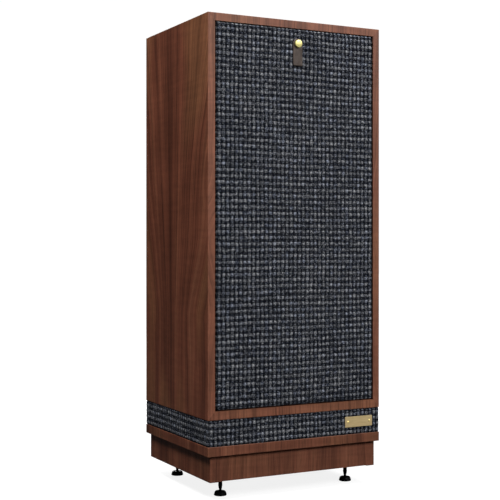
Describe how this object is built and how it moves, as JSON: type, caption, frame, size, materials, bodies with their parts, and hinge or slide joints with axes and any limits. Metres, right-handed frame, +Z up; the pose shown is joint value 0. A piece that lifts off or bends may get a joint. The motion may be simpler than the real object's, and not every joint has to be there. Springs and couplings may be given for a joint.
{
  "type": "floorstanding loudspeaker",
  "caption": "Floorstanding loudspeaker with a walnut cabinet, removable cloth grille, cloth-covered port band, coaxial driver and plinth on adjustable spikes.",
  "frame": {"origin": "floor level, centre of the cabinet's footprint", "axes": "+Z up, front faces -Y, +X to the right seen from the front"},
  "size_m": [0.46, 0.3918, 1.102],
  "materials": {
    "side_veneer": "satin oiled walnut veneer, grain upright",
    "top_veneer": "satin oiled walnut veneer",
    "bottom_veneer": "satin oiled walnut veneer",
    "rear_veneer": "satin oiled walnut veneer",
    "baffle_paint": "board with satin black lacquer",
    "raw_board": "raw board",
    "felt": "pressed felt",
    "black_plastic": "fine texture",
    "band_weave": "open tweed weave",
    "base_veneer": "satin oiled walnut veneer, grain upright",
    "badge_brass": "brushed",
    "pin_brass": "polished",
    "plinth_veneer": "satin oiled walnut veneer, grain upright",
    "insert_brass": "machined",
    "black_zinc": "black zinc",
    "grille_wood": "board stained black",
    "grille_weave": "open tweed weave",
    "tab_leather": "waxed",
    "stud_brass": "polished",
    "magnet_plate": "nickel plate",
    "cast_basket": "cast and painted black",
    "black_screws": "black oxide",
    "surround_rubber": "matte",
    "cone_paper": "pressed pulp",
    "coil_former": "wound wire on foil",
    "spider_cloth": "resin-treated weave",
    "plated_steel": "zinc plate",
    "ferrite": "sintered",
    "horn_paint": "cast and painted black",
    "diaphragm_metal": "thin pressed foil",
    "control_brass": "brushed",
    "knob_brass": "satin",
    "post_metal": "gold plate",
    "cap_metal": "gold plate",
    "circuit_board": "solder mask",
    "crossover_mix": "film cans, wound wire and cement blocks",
    "cable_sleeve": "woven sleeve",
    "spike_steel": "black chrome",
    "pad_steel": "black chrome"
  },
  "bodies": {
    "cabinet": {"badge_pins": "pin_brass", "badge_plate": "badge_brass", "baffle_magnets": "magnet_plate", "band_cloth": "band_weave", "band_frame": "black_plastic", "base_board": "base_veneer", "bottom_panel": "bottom_veneer", "cabinet_braces": "raw_board", "control_plate": "control_brass", "corner_posts": "raw_board", "crossover_board": "circuit_board", "crossover_parts": "crossover_mix", "damping_lining": "felt", "driver_basket": "cast_basket", "foot_inserts": "insert_brass", "foot_lock_nuts": "black_zinc", "front_baffle": "baffle_paint", "internal_cables": "cable_sleeve", "left_side_panel": "side_veneer", "level_switches": "black_plastic", "plinth_corner_blocks": "raw_board", "plinth_rails": "plinth_veneer", "port_diffuser": "black_plastic", "port_tube": "black_plastic", "post_studs": "post_metal", "rear_panel": "rear_veneer", "right_side_panel": "side_veneer", "screws_and_bolts": "black_screws", "terminal_plate": "black_plastic", "top_panel": "top_veneer", "tweeter_cover": "black_plastic", "tweeter_horn": "horn_paint", "tweeter_motor": "plated_steel", "woofer_magnet": "ferrite", "woofer_spider": "spider_cloth", "woofer_steel": "plated_steel", "woofer_surround": "surround_rubber"},
    "grille": {"grille_frame": "grille_wood", "grille_cloth": "grille_weave", "pull_tab_root": "tab_leather", "tab_stud": "stud_brass", "grille_magnets": "magnet_plate"},
    "tab": {"pull_tab": "tab_leather"},
    "cone": {"woofer_cone": "cone_paper", "woofer_voice_coil": "coil_former"},
    "tweeter": {"tweeter_diaphragm": "diaphragm_metal"},
    "treble": {"treble_knob": "knob_brass"},
    "presence": {"presence_knob": "knob_brass"},
    "clamp_left": {"post_clamp_left": "post_metal"},
    "cap_left": {"post_cap_left": "cap_metal"},
    "clamp_right": {"post_clamp_right": "post_metal"},
    "cap_right": {"post_cap_right": "cap_metal"},
    "pad_front_left": {"foot_pad_front_left": "pad_steel"},
    "spike_front_left": {"foot_spike_front_left": "spike_steel"},
    "pad_front_right": {"foot_pad_front_right": "pad_steel"},
    "spike_front_right": {"foot_spike_front_right": "spike_steel"},
    "pad_rear_left": {"foot_pad_rear_left": "pad_steel"},
    "spike_rear_left": {"foot_spike_rear_left": "spike_steel"},
    "pad_rear_right": {"foot_pad_rear_right": "pad_steel"},
    "spike_rear_right": {"foot_spike_rear_right": "spike_steel"}
  },
  "joints": [
    {"name": "grille_lift", "type": "slide", "parent": "cabinet", "child": "grille", "axis": [0, -1, 0], "range_m": [0, 0.12]},
    {"name": "pull_tab_fold", "type": "hinge", "parent": "grille", "child": "tab", "pos_m": [0, -0.18955, 1.03815], "axis": [-1, 0, 0], "range_deg": [0, 75], "stiffness_Nm_per_rad": 0.01},
    {"name": "cone_stroke", "type": "slide", "parent": "cabinet", "child": "cone", "axis": [0, -1, 0], "range_m": [-0.006, 0.006], "stiffness_N_per_m": 2000, "deforming": ["woofer_surround", "woofer_spider"]},
    {"name": "diaphragm_stroke", "type": "slide", "parent": "cabinet", "child": "tweeter", "axis": [0, -1, 0], "range_m": [-0.0004, 0.0004], "stiffness_N_per_m": 2000},
    {"name": "treble_turn", "type": "hinge", "parent": "cabinet", "child": "treble", "pos_m": [-0.031, -0.162, 0.608], "axis": [0, 1, 0], "range_deg": [-150, 150]},
    {"name": "presence_turn", "type": "hinge", "parent": "cabinet", "child": "presence", "pos_m": [0.031, -0.162, 0.608], "axis": [0, 1, 0], "range_deg": [-150, 150]},
    {"name": "clamp_creep_left", "type": "slide", "parent": "cabinet", "child": "clamp_left", "axis": [0, 1, 0], "range_m": [0, 0.005]},
    {"name": "cap_turn_left", "type": "hinge", "parent": "clamp_left", "child": "cap_left", "pos_m": [-0.017, 0.19, 0.3], "axis": [0, 1, 0], "range_deg": [0, 1440]},
    {"name": "clamp_creep_right", "type": "slide", "parent": "cabinet", "child": "clamp_right", "axis": [0, 1, 0], "range_m": [0, 0.005]},
    {"name": "cap_turn_right", "type": "hinge", "parent": "clamp_right", "child": "cap_right", "pos_m": [0.017, 0.19, 0.3], "axis": [0, 1, 0], "range_deg": [0, 1440]},
    {"name": "foot_height_front_left", "type": "slide", "parent": "cabinet", "child": "pad_front_left", "axis": [0, 0, -1], "range_m": [0, 0.015]},
    {"name": "spike_turn_front_left", "type": "hinge", "parent": "pad_front_left", "child": "spike_front_left", "pos_m": [-0.17, -0.124, 0.05], "axis": [0, 0, -1], "range_deg": [0, 3600]},
    {"name": "foot_height_front_right", "type": "slide", "parent": "cabinet", "child": "pad_front_right", "axis": [0, 0, -1], "range_m": [0, 0.015]},
    {"name": "spike_turn_front_right", "type": "hinge", "parent": "pad_front_right", "child": "spike_front_right", "pos_m": [0.17, -0.124, 0.05], "axis": [0, 0, -1], "range_deg": [0, 3600]},
    {"name": "foot_height_rear_left", "type": "slide", "parent": "cabinet", "child": "pad_rear_left", "axis": [0, 0, -1], "range_m": [0, 0.015]},
    {"name": "spike_turn_rear_left", "type": "hinge", "parent": "pad_rear_left", "child": "spike_rear_left", "pos_m": [-0.17, 0.124, 0.05], "axis": [0, 0, -1], "range_deg": [0, 3600]},
    {"name": "foot_height_rear_right", "type": "slide", "parent": "cabinet", "child": "pad_rear_right", "axis": [0, 0, -1], "range_m": [0, 0.015]},
    {"name": "spike_turn_rear_right", "type": "hinge", "parent": "pad_rear_right", "child": "spike_rear_right", "pos_m": [0.17, 0.124, 0.05], "axis": [0, 0, -1], "range_deg": [0, 3600]}
  ],
  "couplings": [
    {"joint": "cap_turn_left", "follows": "clamp_creep_left", "rad_per_m": 5026.5},
    {"joint": "cap_turn_right", "follows": "clamp_creep_right", "rad_per_m": 5026.5},
    {"joint": "spike_turn_front_left", "follows": "foot_height_front_left", "rad_per_m": 4188.8},
    {"joint": "spike_turn_front_right", "follows": "foot_height_front_right", "rad_per_m": 4188.8},
    {"joint": "spike_turn_rear_left", "follows": "foot_height_rear_left", "rad_per_m": 4188.8},
    {"joint": "spike_turn_rear_right", "follows": "foot_height_rear_right", "rad_per_m": 4188.8}
  ]
}
